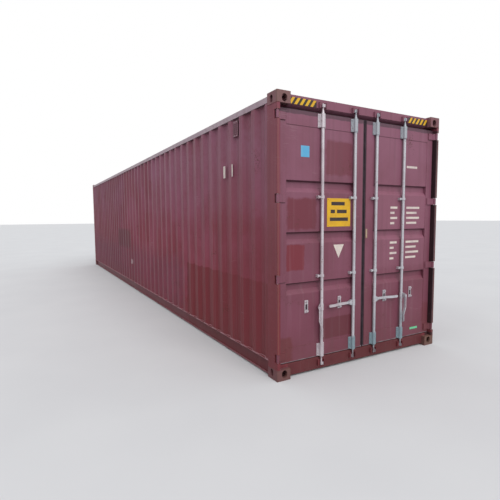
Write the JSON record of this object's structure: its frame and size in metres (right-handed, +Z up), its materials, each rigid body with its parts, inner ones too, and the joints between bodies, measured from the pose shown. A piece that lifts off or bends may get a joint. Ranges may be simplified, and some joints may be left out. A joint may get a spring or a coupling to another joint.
{
  "type": "shipping container",
  "caption": "High cube steel box container with corrugated sides, two hinged end doors, lock bars and corner fittings.",
  "frame": {"origin": "middle of the rectangle of the four bottom twistlock slots, in the plane the fittings rest on", "axes": "+X along the length towards the doors, +Z up, -Y towards the left door's side"},
  "size_m": [12.232, 2.438, 2.896],
  "materials": {
    "body_paint": "satin, chalked",
    "side_paint": "satin, chalked",
    "galvanised_steel": "dull zinc",
    "seal_rubber": "matt",
    "floor_wood": "worn plywood",
    "vent_plastic": "matt",
    "plate_yellow": "satin",
    "plate_blue": "film",
    "mark_white": "film",
    "mark_black": "film",
    "plate_green": "film"
  },
  "bodies": {
    "root": {"corner_fittings_door_end_bottom": "body_paint", "corner_fittings_door_end_top": "body_paint", "corner_fittings_front_end_bottom": "body_paint", "corner_fittings_front_end_top": "body_paint", "left_door_post": "body_paint", "right_door_post": "body_paint", "front_corner_posts": "side_paint", "top_side_rails": "side_paint", "bottom_side_rails": "side_paint", "door_header": "body_paint", "door_sill": "body_paint", "door_beam_ends": "body_paint", "front_header": "side_paint", "front_sill": "side_paint", "left_side_wall": "side_paint", "right_side_wall": "side_paint", "front_wall": "side_paint", "roof_panel": "side_paint", "floor_boards": "floor_wood", "cross_members": "side_paint", "gooseneck_tunnel": "side_paint", "top_cam_keepers": "body_paint", "bottom_cam_keepers": "body_paint", "side_ventilators": "vent_plastic", "hinge_pins": "galvanised_steel"},
    "left_door": {"left_door_frame": "body_paint", "left_door_panel": "body_paint", "left_door_seal": "seal_rubber", "left_door_hinge_blades": "body_paint", "left_door_bar_brackets": "galvanised_steel", "left_door_handle_retainers": "galvanised_steel"},
    "right_door": {"right_door_frame": "body_paint", "right_door_panel": "body_paint", "right_door_seal": "seal_rubber", "right_door_hinge_blades": "body_paint", "right_door_bar_brackets": "galvanised_steel", "right_door_handle_retainers": "galvanised_steel"},
    "left_outer_bar": {"left_outer_lock_bar": "galvanised_steel"},
    "left_outer_handle": {"left_outer_handle": "galvanised_steel"},
    "left_inner_bar": {"left_inner_lock_bar": "galvanised_steel"},
    "left_inner_handle": {"left_inner_handle": "galvanised_steel"},
    "right_inner_bar": {"right_inner_lock_bar": "galvanised_steel"},
    "right_inner_handle": {"right_inner_handle": "galvanised_steel"},
    "right_outer_bar": {"right_outer_lock_bar": "galvanised_steel"},
    "right_outer_handle": {"right_outer_handle": "galvanised_steel"}
  },
  "joints": [
    {"name": "left_door_hinge", "type": "hinge", "parent": "root", "child": "left_door", "pos_m": [6.078, -1.201, 0], "axis": [0, 0, -1], "range_deg": [0, 260]},
    {"name": "right_door_hinge", "type": "hinge", "parent": "root", "child": "right_door", "pos_m": [6.078, 1.201, 0], "axis": [0, 0, 1], "range_deg": [0, 260]},
    {"name": "left_outer_bar_turn", "type": "hinge", "parent": "left_door", "child": "left_outer_bar", "pos_m": [6.066, -0.627, 0], "axis": [0, 0, -1], "range_deg": [-50, 40]},
    {"name": "left_outer_handle_lift", "type": "hinge", "parent": "left_outer_bar", "child": "left_outer_handle", "pos_m": [6.102, -0.6699, 0.703], "axis": [0.766, 0.6428, 0], "range_deg": [-102, 0]},
    {"name": "left_inner_bar_turn", "type": "hinge", "parent": "left_door", "child": "left_inner_bar", "pos_m": [6.066, -0.167, 0], "axis": [0, 0, -1], "range_deg": [-90, 0]},
    {"name": "left_inner_handle_lift", "type": "hinge", "parent": "left_inner_bar", "child": "left_inner_handle", "pos_m": [6.066, -0.223, 0.703], "axis": [1, 0, 0], "range_deg": [-12, 0]},
    {"name": "right_inner_bar_turn", "type": "hinge", "parent": "right_door", "child": "right_inner_bar", "pos_m": [6.066, 0.167, 0], "axis": [0, 0, 1], "range_deg": [-90, 0]},
    {"name": "right_inner_handle_lift", "type": "hinge", "parent": "right_inner_bar", "child": "right_inner_handle", "pos_m": [6.066, 0.223, 0.703], "axis": [-1, 0, 0], "range_deg": [-12, 0]},
    {"name": "right_outer_bar_turn", "type": "hinge", "parent": "right_door", "child": "right_outer_bar", "pos_m": [6.066, 0.627, 0], "axis": [0, 0, 1], "range_deg": [0, 90]},
    {"name": "right_outer_handle_lift", "type": "hinge", "parent": "right_outer_bar", "child": "right_outer_handle", "pos_m": [6.122, 0.627, 0.703], "axis": [0, 1, 0], "range_deg": [-102, 0]}
  ]
}
